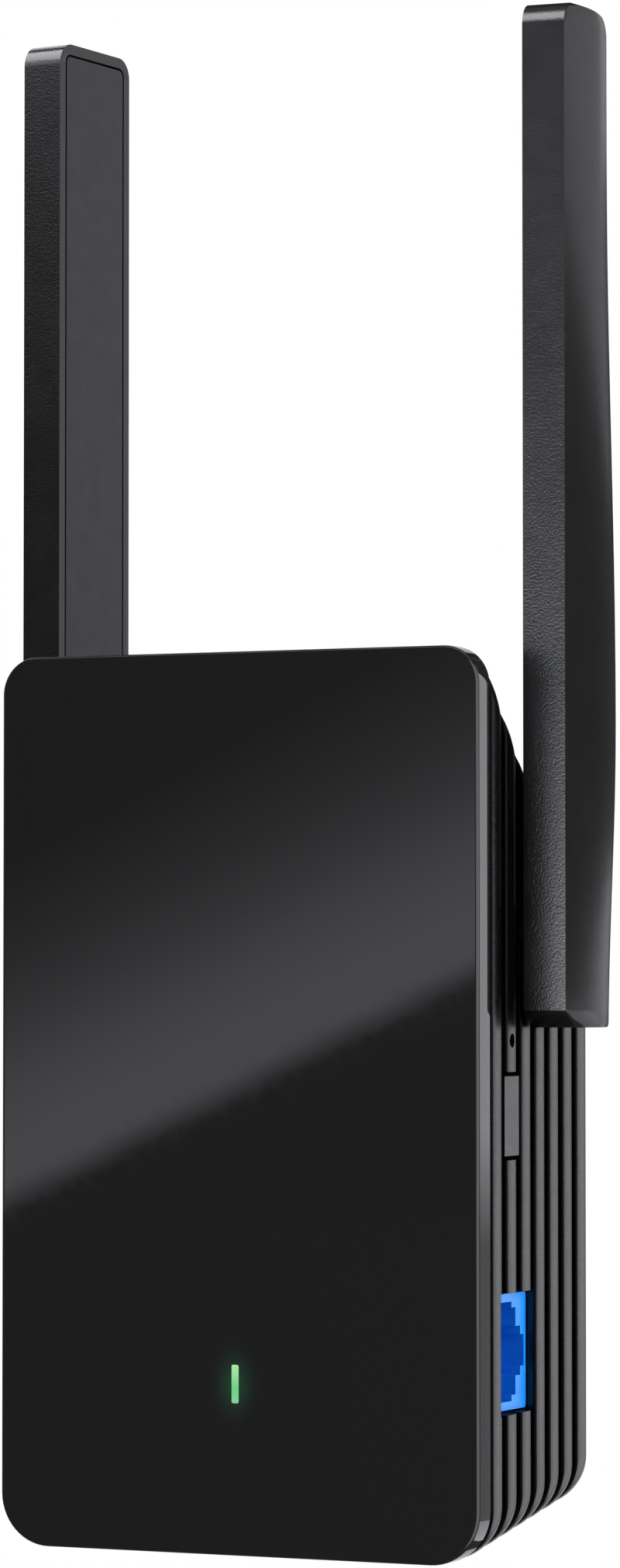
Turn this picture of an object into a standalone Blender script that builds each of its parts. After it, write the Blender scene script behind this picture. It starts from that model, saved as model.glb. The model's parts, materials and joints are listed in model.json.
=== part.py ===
"""A wall-plug wifi range extender with two folding antennas.

Sizes are in millimetres. A place is given as x (to the right, seen from the front), depth (from the front
face towards the wall) and height (above the lowest edge of the front cover). The world's origin is the
middle of the face that meets the wall outlet, with +Y into the wall and +Z up.
"""

import math

import bmesh
import bpy
from mathutils import Matrix, Vector

MM = 0.001
GAP = 0.3

# The body: a flat front cover, and a housing whose sides, top and underside draw in towards the wall.
WIDTH = 67.1
HEIGHT = 114.2
COVER_CORNERS = (4.8, 6.7)
HOUSING_CORNERS = (5.9, 6.3)
CORNER_STEPS = 6
COVER_DEPTH = 3.8
COVER_WALL = 1.8
COVER_BEVEL = 0.45
BODY_DEPTH = 44.1
WALL_DEPTH = 45.0
PLUG_HEIGHT = 42.0

SIDE_DRAFT = 0.08
TOP_SLOPE = 0.874
UNDER_SLOPE = 0.108

# The ribs run all round the housing, with the first one just behind the cover.
RIBS = 7
FIRST_RIB = 5.7
RIB_WIDTH = 3.9
RIB_PITCH = 5.7
GROOVE = 1.6
HOUSING_WALL = 3.2
REAR_WALL = 2.0
VENT_LENGTH = 30.0
VENT_WIDTH = 1.0

# The chassis frame behind the cover, and the main board behind the frame.
FRAME_INSET = 2.1
FRAME_FRONT = 2.1
FRAME_REAR = 5.4
FRAME_BORDER = 10.0
FRAME_BAR = (52.0, 60.0)
BOARD_FRONT = 7.2
BOARD = 1.6
BOARD_REAR = BOARD_FRONT + BOARD
BOARD_HALF_WIDTH = 28.5
BOARD_HEIGHTS = (16.5, 94.0)
ON_BOARD = BOARD_REAR + GAP

BOSS_X = 24.0
BOSS_HEIGHTS = (11.0, 100.0)
BOSS_RADIUS = 3.0
PILOT_RADIUS = 1.1
SCREW_HEAD = (2.1, 1.2)
SCREW_SHAFT_RADIUS = 0.85
BOARD_SCREW_X = 25.5
BOARD_SCREW_HEIGHTS = (42.0, 88.0)

# The status light.
LIGHT_HEIGHT = 21.6
LIGHT_SIZE = (1.0, 4.8)
LIGHT_SLIT_GAP = 0.12

# The network socket, in the right side wall.
JACK_WINDOW_DEPTHS = (8.7, 22.8)
JACK_WINDOW_HEIGHTS = (17.9, 33.15)
JACK_FACE_X = 30.3
JACK_LENGTH = 15.5
JACK_MIDDLE = (15.8, 25.5)
JACK_SIZE = (13.4, 14.7)
JACK_POCKET = 12.5
# Each step of the socket's mouth: from depth, to depth, height across.
JACK_STEPS = (
    (10.6, 17.9, 12.6),
    (17.8, 19.2, 11.05),
    (19.1, 20.7, 6.25),
    (20.6, 21.8, 4.0),
)

# The two buttons, in the second rib.
BUTTON_DEPTH = 13.2
WPS_HEIGHT = 55.4
WPS_SIZE = (5.6, 10.0)
WPS_WINDOW = (5.9, 11.1)
WPS_FLANGE = (7.4, 12.2)
RESET_HEIGHT = 64.9
RESET_HOLE_RADIUS = 0.9

# The power supply.
POWER_BOARD_FRONT = 31.0
ON_POWER_BOARD = POWER_BOARD_FRONT - GAP
PLUG_SIZE = (34.0, 24.0)
PLUG_FLANGE = (47.0, 28.0)
PLUG_SCREW_X = 20.5
BLADE_X = 6.35
BLADE_THICKNESS = 1.5
BLADE_OUT = 17.0
BLADE_IN = 10.4

# The antennas: each turns on a hinge at right angles to the side wall.
HINGE_DEPTH = 23.7
HINGE_HEIGHT = 76.0
HINGE_X = WIDTH / 2 - SIDE_DRAFT * HINGE_DEPTH
DRAFT_ANGLE = math.atan(SIDE_DRAFT)
HINGE_PAD_RADIUS = 8.0
HINGE_HOLE_RADIUS = 3.55
POST_RADIUS = 3.3
POST_BORE = 1.5
POST_END = -7.6
FLANGE_RADIUS = 6.2
ANTENNA_TOP = 197.0 - HINGE_HEIGHT
ANTENNA_BOTTOM = 66.5 - HINGE_HEIGHT
ANTENNA_FRONT = -8.8
ANTENNA_BACK = 8.65
ANTENNA_INNER = 0.9
ANTENNA_EDGE = 6.5
ANTENNA_CROWN = 0.75
ANTENNA_RISE = 0.86
ANTENNA_SWELL = 1.06
SWELL_HEIGHT = 30.0
SWELL_REACH = (-42.0, 72.0)
BACK_CORNER = 2.5
TOP_FRONT_CORNER = 2.3
TOP_BACK_CORNER = 2.6
FOOT_CHAMFER = (4.5, 2.2)
FOOT_BACK_CORNER = 0.8
PANEL_MARGIN = 1.7
PANEL_THICKNESS = 1.2
CAVITY_OUTER = 5.3

for old in list(bpy.data.objects):
    bpy.data.objects.remove(old)

parts = bpy.data.collections.new("wifi_range_extender")
cutters = bpy.data.collections.new("cutters")
for collection in (parts, cutters):
    bpy.context.scene.collection.children.link(collection)


# ---------------------------------------------------------------- materials


def material(name, colour, roughness, metallic=0.0, emission=0.0):
    made = bpy.data.materials.new(name)
    made.use_nodes = True
    shader = made.node_tree.nodes["Principled BSDF"]
    shader.inputs["Base Color"].default_value = (*colour, 1.0)
    shader.inputs["Roughness"].default_value = roughness
    shader.inputs["Metallic"].default_value = metallic
    if emission:
        shader.inputs["Emission Color"].default_value = (*colour, 1.0)
        shader.inputs["Emission Strength"].default_value = emission
    return made


GLOSS_BLACK = material("gloss_black", (0.011, 0.011, 0.012), 0.08)
SATIN_BLACK = material("satin_black", (0.015, 0.015, 0.016), 0.35)
GRAINED_BLACK = material("grained_black", (0.02, 0.02, 0.021), 0.5)
PANEL_BLACK = material("panel_black", (0.03, 0.03, 0.032), 0.45)
FRAME_BLACK = material("frame_black", (0.008, 0.008, 0.008), 0.6)
PLUG_BLACK = material("plug_black", (0.02, 0.02, 0.02), 0.45)
LIGHT_GREEN = material("light_green", (0.15, 0.75, 0.3), 0.3, emission=2.0)
JACK_BLUE = material("jack_blue", (0.016, 0.28, 1.0), 0.35)
GOLD = material("gold_plate", (0.83, 0.62, 0.25), 0.25, 1.0)
NICKEL = material("nickel_plate", (0.75, 0.74, 0.71), 0.22, 1.0)
STEEL = material("zinc_steel", (0.6, 0.6, 0.62), 0.35, 1.0)
ALUMINIUM = material("aluminium", (0.7, 0.71, 0.73), 0.4, 1.0)
BOARD_GREEN = material("board_green", (0.02, 0.12, 0.05), 0.45)
CHIP_BLACK = material("chip_black", (0.02, 0.02, 0.022), 0.5)
PAD_GREY = material("pad_grey", (0.35, 0.37, 0.4), 0.8)
CAN_SLEEVE = material("capacitor_sleeve", (0.03, 0.035, 0.06), 0.4)
TAPE_YELLOW = material("transformer_tape", (0.75, 0.55, 0.08), 0.5)
CABLE_GREY = material("cable_grey", (0.12, 0.12, 0.13), 0.5)
WIRE_RED = material("wire_red", (0.45, 0.02, 0.02), 0.45)
SWITCH_WHITE = material("switch_white", (0.8, 0.8, 0.77), 0.45)


# ---------------------------------------------------------------- building


def at(x, depth, height):
    """A place on the body as a world position in metres."""
    return Vector((x, depth - WALL_DEPTH, height - PLUG_HEIGHT)) * MM


def add(name, bm, surface, where=None, turn=None, parent=None, smooth=False):
    """Makes one object from a bmesh in millimetres. Without a surface it is a cutter."""
    bmesh.ops.scale(bm, vec=(MM, MM, MM), verts=bm.verts)
    bmesh.ops.recalc_face_normals(bm, faces=bm.faces)
    mesh = bpy.data.meshes.new(name)
    bm.to_mesh(mesh)
    bm.free()
    made = bpy.data.objects.new(name, mesh)
    made.parent = parent
    made.matrix_local = Matrix.Translation(where or Vector()) @ (turn or Matrix())
    if surface:
        mesh.materials.append(surface)
        parts.objects.link(made)
    else:
        made.hide_render = True
        made.display_type = "WIRE"
        cutters.objects.link(made)
    if smooth:
        mesh.shade_smooth()
        mesh.set_sharp_from_angle(angle=math.radians(35))
    return made


def block(size, middle=(0, 0, 0), rounding=0.0, along=None, steps=4):
    """A box; with rounding, the edges along one axis (or all of them) are rounded."""
    bm = bmesh.new()
    bmesh.ops.create_cube(bm, size=1.0)
    bmesh.ops.scale(bm, vec=size, verts=bm.verts)
    if rounding:
        edges = []
        for edge in bm.edges:
            run = (edge.verts[0].co - edge.verts[1].co).normalized()
            if along is None or abs(run[along]) > 0.99:
                edges.append(edge)
        bmesh.ops.bevel(bm, geom=edges, offset=rounding, segments=steps, profile=0.5, affect="EDGES")
    bmesh.ops.translate(bm, vec=middle, verts=bm.verts)
    return bm


def rod(radius, start, end, axis="Y", centre=(0, 0), sides=20):
    """A cylinder along an axis from start to end; centre gives its other two coordinates, in order."""
    bm = bmesh.new()
    bmesh.ops.create_cone(
        bm, cap_ends=True, segments=sides, radius1=radius, radius2=radius, depth=end - start
    )
    middle = (start + end) / 2
    turn, where = {
        "X": (Matrix.Rotation(math.pi / 2, 4, "Y"), (middle, centre[0], centre[1])),
        "Y": (Matrix.Rotation(math.pi / 2, 4, "X"), (centre[0], middle, centre[1])),
        "Z": (Matrix(), (centre[0], centre[1], middle)),
    }[axis]
    bmesh.ops.transform(bm, matrix=Matrix.Translation(where) @ turn, verts=bm.verts)
    return bm


def loft(rings):
    """A closed solid through rings of equally many points, capped at both ends."""
    bm = bmesh.new()
    rows = [[bm.verts.new(point) for point in ring] for ring in rings]
    for row, following in zip(rows, rows[1:]):
        for i, vert in enumerate(row):
            j = (i + 1) % len(row)
            bm.faces.new((vert, row[j], following[j], following[i]))
    bm.faces.new(rows[0][::-1])
    bm.faces.new(rows[-1])
    return bm


def turned(name, profile, surface, where, turn, parent=None, sides=24):
    """A shape turned about its local Z from (radius, height) points that run down its outer side."""
    bm = bmesh.new()
    verts = [bm.verts.new((radius, 0.0, height)) for radius, height in profile]
    for first, second in zip(verts, verts[1:]):
        bm.edges.new((first, second))
    if profile[0][0] > 0.0:
        bm.edges.new((verts[-1], verts[0]))
    made = add(name, bm, surface, where, turn, parent, smooth=True)
    screw = made.modifiers.new("turn", "SCREW")
    screw.steps = sides
    screw.render_steps = sides
    screw.use_merge_vertices = True
    screw.merge_threshold = 0.00005
    return made


def cut(body, cutter, operation="DIFFERENCE"):
    modifier = body.modifiers.new(cutter.name, "BOOLEAN")
    modifier.operation = operation
    modifier.object = cutter


def cable(name, points, radius, surface, parent=None):
    """A round cable through points in metres."""
    curve = bpy.data.curves.new(name, "CURVE")
    curve.dimensions = "3D"
    curve.bevel_depth = radius * MM
    curve.bevel_resolution = 2
    curve.use_fill_caps = True
    spline = curve.splines.new("POLY")
    spline.points.add(len(points) - 1)
    for point, place in zip(spline.points, points):
        point.co = (*place, 1.0)
    curve.materials.append(surface)
    made = bpy.data.objects.new(name, curve)
    made.parent = parent
    parts.objects.link(made)
    return made


def bezier(points, steps):
    """Places along the Bezier curve of four control points."""
    a, b, c, d = (Vector(point) for point in points)
    places = []
    for i in range(steps + 1):
        t = i / steps
        places.append(a * (1 - t) ** 3 + b * 3 * t * (1 - t) ** 2 + c * 3 * t**2 * (1 - t) + d * t**3)
    return places


def rounded_ring(half_width, low, high, corners, depth):
    """A rounded rectangle in the plane of one depth, anticlockwise from its upper right corner.

    corners holds the radius of its two upper and of its two lower corners.
    """
    ring = []
    upper, lower = corners
    arcs = (
        (half_width - upper, high - upper, upper, 0),
        (-half_width + upper, high - upper, upper, 1),
        (-half_width + lower, low + lower, lower, 2),
        (half_width - lower, low + lower, lower, 3),
    )
    for x, height, radius, quarter in arcs:
        for step in range(CORNER_STEPS + 1):
            angle = (quarter + step / CORNER_STEPS) * math.pi / 2
            ring.append((x + radius * math.cos(angle), depth, height + radius * math.sin(angle)))
    return ring


def cover_ring(depth, inset):
    corners = [max(radius - inset, 1.0) for radius in COVER_CORNERS]
    return rounded_ring(WIDTH / 2 - inset, inset, HEIGHT - inset, corners, depth)


def housing_ring(depth, inset):
    """The housing's outline at one depth, drawn in by inset at right angles to its walls."""
    back = depth - FIRST_RIB
    half_width = WIDTH / 2 - SIDE_DRAFT * depth - inset
    low = UNDER_SLOPE * back + inset
    high = HEIGHT - TOP_SLOPE * back - inset * math.hypot(1.0, TOP_SLOPE)
    corners = [max(radius - inset, 2.0) for radius in HOUSING_CORNERS]
    return rounded_ring(half_width, low, high, corners, depth)


def wall_x(depth):
    """Where the outer side of the right-hand wall is at one depth."""
    return WIDTH / 2 - SIDE_DRAFT * depth


BODY = at(0, 0, 0)


def wall_frame(side, depth, height):
    """A frame on the outside of a side wall: X out of the wall, Y along it to the back, Z up.

    On the left (side -1) X points into the wall, so that a shape mirrored in X stands there.
    """
    where = at(side * wall_x(depth), depth, height)
    return Matrix.Translation(where) @ Matrix.Rotation(side * DRAFT_ANGLE, 4, "Z")


def on_wall(side, depth, height):
    """The position and the turn of wall_frame."""
    frame = wall_frame(side, depth, height)
    return frame.to_translation(), frame.to_3x3().to_4x4()


# ---------------------------------------------------------------- front cover and light


def make_front_cover():
    cover = add(
        "front_cover",
        loft([
            cover_ring(0.0, COVER_BEVEL),
            cover_ring(COVER_BEVEL, 0.0),
            cover_ring(COVER_DEPTH, 0.0),
            cover_ring(COVER_DEPTH, COVER_WALL),
            cover_ring(COVER_WALL, COVER_WALL),
        ]),
        GLOSS_BLACK,
        BODY,
    )
    width, height = (side + 2 * LIGHT_SLIT_GAP for side in LIGHT_SIZE)
    slit = block((width, 4 * COVER_WALL, height))
    cut(cover, add("light_slit", slit, None, at(0, COVER_WALL, LIGHT_HEIGHT)))


def light_ring(depth, grow):
    half_width = LIGHT_SIZE[0] / 2 + grow
    half_height = LIGHT_SIZE[1] / 2 + grow
    return [
        (x * half_width, depth, z * half_height)
        for x, z in ((1, 1), (-1, 1), (-1, -1), (1, -1))
    ]


def make_light():
    """The light guide shows in the cover's slit and has a flange behind the cover."""
    flange = (COVER_WALL + GAP, COVER_WALL + GAP + 0.8)
    guide_end = BOARD_FRONT - 1.6
    rings = [light_ring(0.1, 0.0), light_ring(flange[0], 0.0), light_ring(flange[0], 0.8)]
    rings += [light_ring(flange[1], 0.8), light_ring(flange[1], 0.2), light_ring(guide_end, 0.2)]
    add("light_guide", loft(rings), LIGHT_GREEN, at(0, 0, LIGHT_HEIGHT))
    led = block((1.6, 1.0, 3.2), rounding=0.2, along=1, steps=1)
    add("status_led", led, SWITCH_WHITE, at(0, BOARD_FRONT - GAP - 0.5, LIGHT_HEIGHT))


# ---------------------------------------------------------------- chassis frame


def make_mid_frame():
    """The frame closes the housing. Its edge is the dark floor of the gap behind the cover."""
    frame = add(
        "mid_frame",
        loft([cover_ring(FRAME_FRONT, FRAME_INSET), cover_ring(FRAME_REAR, FRAME_INSET)]),
        FRAME_BLACK,
        BODY,
    )
    half = WIDTH / 2 - FRAME_INSET - FRAME_BORDER
    spans = ((FRAME_INSET + FRAME_BORDER, FRAME_BAR[0]), (FRAME_BAR[1], HEIGHT - 16.0))
    for name, (low, high) in zip(("lower", "upper"), spans):
        window = block((2 * half, 4 * FRAME_REAR, high - low), rounding=2.0, along=1)
        cut(frame, add(f"frame_window_{name}", window, None, at(0, FRAME_REAR, (low + high) / 2)))
    for i, (x, height) in enumerate(places_of(BOARD_SCREW_X, BOARD_SCREW_HEIGHTS)):
        post = rod(2.3, FRAME_REAR - 1.0, BOARD_FRONT - GAP)
        pilot = rod(PILOT_RADIUS, FRAME_FRONT + 1.2, BOARD_FRONT)
        cut(frame, add(f"board_post_{i}", post, None, at(x, 0, height)), "UNION")
        cut(frame, add(f"board_pilot_{i}", pilot, None, at(x, 0, height)))
    for i, (x, height) in enumerate(places_of(BOSS_X, BOSS_HEIGHTS)):
        sink = rod(SCREW_HEAD[0] + 0.4, FRAME_FRONT - 1.0, FRAME_FRONT + SCREW_HEAD[1] + GAP)
        hole = rod(PILOT_RADIUS, FRAME_FRONT - 1.0, FRAME_REAR + 1.0)
        cut(frame, add(f"frame_sink_{i}", sink, None, at(x, 0, height)))
        cut(frame, add(f"frame_hole_{i}", hole, None, at(x, 0, height)))


def places_of(x, heights):
    """Four places: both sides, at two heights."""
    return [(side * x, height) for height in heights for side in (-1, 1)]


def screw(name, x, height, head_depth, length, facing=1):
    """A pan-head screw along the depth. facing 1 puts its tip towards the wall, -1 towards the front."""
    radius, thick = SCREW_HEAD
    profile = [(0.0, 0.0), (radius * 0.8, 0.0), (radius, -0.4), (radius, -thick)]
    profile += [(SCREW_SHAFT_RADIUS, -thick), (SCREW_SHAFT_RADIUS, -length + 0.6), (0.0, -length)]
    turn = Matrix.Rotation(facing * math.pi / 2, 4, "X")
    made = turned(name, profile, STEEL, at(x, head_depth, height), turn, sides=12)
    slots = [block((2.4, 0.5, 0.9)), block((0.5, 2.4, 0.9))]
    for letter, slot in zip("ab", slots):
        cut(made, add(f"{name}_slot_{letter}", slot, None, at(x, head_depth, height), turn))


def make_screws():
    for i, (x, height) in enumerate(places_of(BOSS_X, BOSS_HEIGHTS), 1):
        screw(f"housing_screw_{i}", x, height, FRAME_FRONT + 0.1, 9.0)
    for i, (x, height) in enumerate(places_of(BOARD_SCREW_X, BOARD_SCREW_HEIGHTS), 1):
        screw(f"board_screw_{i}", x, height, ON_BOARD + SCREW_HEAD[1], 6.2, facing=-1)
    for i, x in enumerate((-PLUG_SCREW_X, PLUG_SCREW_X), 1):
        screw(f"plug_screw_{i}", x, PLUG_HEIGHT, BODY_DEPTH - REAR_WALL - 4.6, 5.8)


# ---------------------------------------------------------------- housing


def make_rear_housing():
    rings = []
    for i in range(RIBS):
        front = FIRST_RIB + i * RIB_PITCH
        back = front + RIB_WIDTH if i < RIBS - 1 else BODY_DEPTH
        if i:
            rings += [housing_ring(front, GROOVE)]
        rings += [housing_ring(front, 0.0), housing_ring(back, 0.0)]
        if i < RIBS - 1:
            rings += [housing_ring(back, GROOVE)]
    housing = add("rear_housing", loft(rings), SATIN_BLACK, BODY)

    for name, side in (("left", -1), ("right", 1)):
        pad = rod(HINGE_PAD_RADIUS, -2.4, -0.02, "X", sides=32)
        if side < 0:
            pad = rod(HINGE_PAD_RADIUS, 0.02, 2.4, "X", sides=32)
        cut(housing, add(f"hinge_pad_{name}", pad, None, *on_wall(side, HINGE_DEPTH, HINGE_HEIGHT)), "UNION")

    inside = [
        housing_ring(FIRST_RIB - 1.0, HOUSING_WALL),
        housing_ring(BODY_DEPTH - REAR_WALL, HOUSING_WALL),
    ]
    cavity = add("housing_cavity", loft(inside), None, BODY)
    for i, (x, height) in enumerate(places_of(BOSS_X, BOSS_HEIGHTS)):
        boss = rod(BOSS_RADIUS, FRAME_REAR + GAP, BODY_DEPTH)
        cut(cavity, add(f"screw_boss_{i}", boss, None, at(x, 0, height)))
    cut(housing, cavity)
    for i, (x, height) in enumerate(places_of(BOSS_X, BOSS_HEIGHTS)):
        pilot = rod(PILOT_RADIUS, FRAME_REAR - 1.0, 12.6, sides=12)
        cut(housing, add(f"screw_pilot_{i}", pilot, None, at(x, 0, height)))
    for i, x in enumerate((-PLUG_SCREW_X, PLUG_SCREW_X)):
        pilot = rod(PILOT_RADIUS, BODY_DEPTH - REAR_WALL - 1.0, BODY_DEPTH - 0.5, sides=12)
        cut(housing, add(f"plug_pilot_{i}", pilot, None, at(x, 0, PLUG_HEIGHT)))

    for name, side in (("left", -1), ("right", 1)):
        hole = rod(HINGE_HOLE_RADIUS, -8.0, 8.0, "X", sides=24)
        cut(housing, add(f"hinge_hole_{name}", hole, None, *on_wall(side, HINGE_DEPTH, HINGE_HEIGHT)))
    cut_wall_windows(housing)
    width, height = (side + 2 * GAP for side in PLUG_SIZE)
    plug = block((width, 8.0, height), rounding=2.0, along=1)
    cut(housing, add("plug_window", plug, None, at(0, BODY_DEPTH, PLUG_HEIGHT)))
    cut_vents(housing)


def cut_wall_windows(housing):
    """The socket's window, the button's window and the reset pin's hole, all in the right-hand wall."""
    depths, heights = JACK_WINDOW_DEPTHS, JACK_WINDOW_HEIGHTS
    socket = block((14.0, depths[1] - depths[0], heights[1] - heights[0]))
    middle = at(wall_x(sum(depths) / 2), sum(depths) / 2, sum(heights) / 2)
    cut(housing, add("jack_window", socket, None, middle))
    button = block((14.0, *WPS_WINDOW))
    cut(housing, add("wps_window", button, None, *on_wall(1, BUTTON_DEPTH, WPS_HEIGHT)))
    pin = rod(RESET_HOLE_RADIUS, -7.0, 7.0, "X", sides=16)
    cut(housing, add("reset_hole", pin, None, *on_wall(1, BUTTON_DEPTH, RESET_HEIGHT)))


def cut_vents(housing):
    """A slot through the floor of each groove, on the sloping top and on the underside."""
    for i in range(RIBS - 1):
        depth = FIRST_RIB + i * RIB_PITCH + (RIB_PITCH + RIB_WIDTH) / 2
        back = depth - FIRST_RIB
        for name, height in (("top", HEIGHT - TOP_SLOPE * back), ("under", UNDER_SLOPE * back)):
            vent = block((VENT_LENGTH, VENT_WIDTH, 16.0))
            cut(housing, add(f"vent_{name}_{i}", vent, None, at(0, depth, height)))


# ---------------------------------------------------------------- main board and what is on it


def make_main_board():
    low, high = BOARD_HEIGHTS
    board = block((2 * BOARD_HALF_WIDTH, BOARD, high - low), rounding=1.5, along=1, steps=2)
    middle = at(0, BOARD_FRONT + BOARD / 2, (low + high) / 2)
    board = add("main_board", board, BOARD_GREEN, middle)
    for i, (x, height) in enumerate(places_of(BOARD_SCREW_X, BOARD_SCREW_HEIGHTS)):
        hole = rod(PILOT_RADIUS, BOARD_FRONT - 1.0, BOARD_REAR + 1.0, sides=16)
        cut(board, add(f"board_hole_{i}", hole, None, at(x, 0, height)))


def make_processor():
    x, height = -10.0, 62.0
    chip = block((12.0, 1.1, 12.0), rounding=0.3, along=1, steps=1)
    add("processor_chip", chip, CHIP_BLACK, at(x, ON_BOARD + 0.55, height))
    pad = block((11.0, 0.6, 11.0), rounding=0.5, along=1, steps=1)
    add("thermal_pad", pad, PAD_GREY, at(x, ON_BOARD + 1.7, height))
    can = add("shield_can", block((25.0, 2.9, 27.0), rounding=0.5, along=1), NICKEL, at(x, ON_BOARD + 1.45, height))
    hollow = block((24.4, 2.9, 26.4), rounding=0.3, along=1)
    cut(can, add("can_hollow", hollow, None, at(x, ON_BOARD + 1.15, height)))
    sink = add("heat_sink", block((24.0, 5.0, 26.0)), ALUMINIUM, at(x, ON_BOARD + 5.7, height))
    for i in range(5):
        slot = block((2.4, 5.0, 30.0))
        cut(sink, add(f"fin_slot_{i}", slot, None, at(x + (i - 2) * 4.6, ON_BOARD + 7.2, height)))


def make_jack():
    depth, height = JACK_MIDDLE
    body = block((JACK_LENGTH, *JACK_SIZE), rounding=0.3, along=0, steps=1)
    jack = add("rj45_jack", body, JACK_BLUE, at(JACK_FACE_X - JACK_LENGTH / 2, depth, height))
    for i, (near, far, across) in enumerate(JACK_STEPS):
        step = block((2 * JACK_POCKET, far - near, across))
        cut(jack, add(f"jack_step_{i}", step, None, at(JACK_FACE_X, (near + far) / 2, height)))
    comb = block((8.4, 0.4, 9.6))
    x = JACK_FACE_X - JACK_POCKET + 0.4 + 4.2
    contacts = add("rj45_contacts", comb, GOLD, at(x, JACK_STEPS[0][0] + 0.7, height))
    for i in range(7):
        slot = block((8.4, 2.0, 0.7))
        place = at(x + 1.4, JACK_STEPS[0][0] + 0.7, height + (i - 3) * 1.27)
        cut(contacts, add(f"contact_slot_{i}", slot, None, place))


def wall_ring(out, size):
    """A rectangle at one distance out of the wall, for what is pushed in through the wall."""
    along, up = size[0] / 2, size[1] / 2
    return [(out, y * along, z * up) for y, z in ((1, 1), (-1, 1), (-1, -1), (1, -1))]


def make_buttons():
    """The pairing button and the reset switch's plunger, each with the switch behind it."""
    where, turn = on_wall(1, BUTTON_DEPTH, WPS_HEIGHT)
    rings = [wall_ring(-0.1, WPS_SIZE), wall_ring(-3.6, WPS_SIZE), wall_ring(-3.6, WPS_FLANGE)]
    rings += [wall_ring(-4.4, WPS_FLANGE), wall_ring(-4.4, (3.0, 3.0)), wall_ring(-6.0, (3.0, 3.0))]
    add("wps_button", loft(rings), SATIN_BLACK, where, turn)
    add("wps_switch", block((4.4, 6.6, 6.0), (-9.1, 0, 0), 0.4), CHIP_BLACK, where, turn)

    where, turn = on_wall(1, BUTTON_DEPTH, RESET_HEIGHT)
    add("reset_button", rod(1.2, -7.2, -4.2, "X", sides=16), SWITCH_WHITE, where, turn, smooth=True)
    add("reset_switch", block((4.0, 5.4, 5.0), (-9.6, 0, 0), 0.4), CHIP_BLACK, where, turn)


# ---------------------------------------------------------------- power supply


def make_power_board():
    board = block((40.0, BOARD, 50.0), rounding=1.5, along=1, steps=2)
    add("power_board", board, BOARD_GREEN, at(0, POWER_BOARD_FRONT + BOARD / 2, 39.0))
    coil = block((15.0, 13.0, 14.0), rounding=1.2)
    add("transformer", coil, TAPE_YELLOW, at(-8.0, ON_POWER_BOARD - 6.5, 28.0))
    for letter, height in zip("ab", (22.0, 33.0)):
        profile = [(0.0, 12.0), (3.4, 12.0), (4.0, 11.4), (4.0, 10.4), (3.7, 10.0), (4.0, 9.6)]
        profile += [(4.0, 0.4), (3.6, 0.0), (0.0, 0.0)]
        turn = Matrix.Rotation(math.pi / 2, 4, "X")
        turned(f"capacitor_{letter}", profile, CAN_SLEEVE, at(6.0, ON_POWER_BOARD, height), turn, sides=16)
    choke = block((8.0, 4.5, 8.0), rounding=0.8)
    add("inductor", choke, CHIP_BLACK, at(-9.0, ON_POWER_BOARD - 2.25, 52.0))
    ends = [at(12.0, ON_POWER_BOARD, 54.0), at(12.0, 20.0, 54.0), at(12.0, 20.0, 44.0), at(12.0, ON_BOARD, 44.0)]
    cable("power_lead", bezier(ends, 12), 0.9, WIRE_RED)


def make_plug():
    """The insulating block that carries the blades. Its raised face meets the wall outlet."""
    width, height = PLUG_SIZE
    front = BODY_DEPTH - REAR_WALL - 3.2
    rim = BODY_DEPTH - REAR_WALL - GAP
    base = add(
        "plug_base",
        block((width, WALL_DEPTH - front, height), (0, (WALL_DEPTH + front) / 2, 0), 1.8, along=1),
        PLUG_BLACK,
        at(0, 0, PLUG_HEIGHT),
    )
    flange = block((PLUG_FLANGE[0], rim - front, PLUG_FLANGE[1]), (0, (front + rim) / 2, 0), 1.8, along=1)
    cut(base, add("plug_flange", flange, None, at(0, 0, PLUG_HEIGHT)), "UNION")
    for name, side in (("left", -1), ("right", 1)):
        tall = 7.9 if side < 0 else 6.35
        x = side * BLADE_X
        slot = block((BLADE_THICKNESS + 0.3, 30.0, tall + 0.3))
        cut(base, add(f"blade_slot_{name}", slot, None, at(x, WALL_DEPTH, PLUG_HEIGHT)))
        hole = rod(PILOT_RADIUS, front - 1.0, WALL_DEPTH, sides=16)
        cut(base, add(f"flange_hole_{name}", hole, None, at(side * PLUG_SCREW_X, 0, PLUG_HEIGHT)))
        make_blade(name, x, tall)


def make_blade(name, x, tall):
    """One flat mains blade with a tapered tip, and the spring contact behind it."""
    long = BLADE_OUT + BLADE_IN
    blade = block((BLADE_THICKNESS, long, tall), (0, (BLADE_OUT - BLADE_IN) / 2, 0))
    tips = [vert for vert in blade.verts if vert.co.y > BLADE_OUT - 0.1]
    ends = [edge for edge in blade.edges if all(vert in tips for vert in edge.verts)]
    bmesh.ops.bevel(blade, geom=ends, offset=0.5, segments=2, profile=0.5, affect="EDGES")
    made = add(f"plug_blade_{name}", blade, NICKEL, at(x, WALL_DEPTH, PLUG_HEIGHT))
    hole = rod(1.6, -3.0, 3.0, "X", (0, 0), sides=16)
    cut(made, add(f"blade_hole_{name}", hole, None, at(x, WALL_DEPTH + 11.8, PLUG_HEIGHT)))
    start = POWER_BOARD_FRONT + BOARD + GAP
    end = WALL_DEPTH - BLADE_IN - GAP
    spring = block((3.2, end - start, 5.0), rounding=0.3)
    add(f"blade_contact_{name}", spring, GOLD, at(x, (start + end) / 2, PLUG_HEIGHT))


# ---------------------------------------------------------------- antennas


def quarter(drop, radius):
    """How far a rounded corner has drawn in, at a distance of drop from the end of the antenna."""
    if drop >= radius:
        return 0.0
    return radius - math.sqrt(radius**2 - (radius - drop) ** 2)


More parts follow.
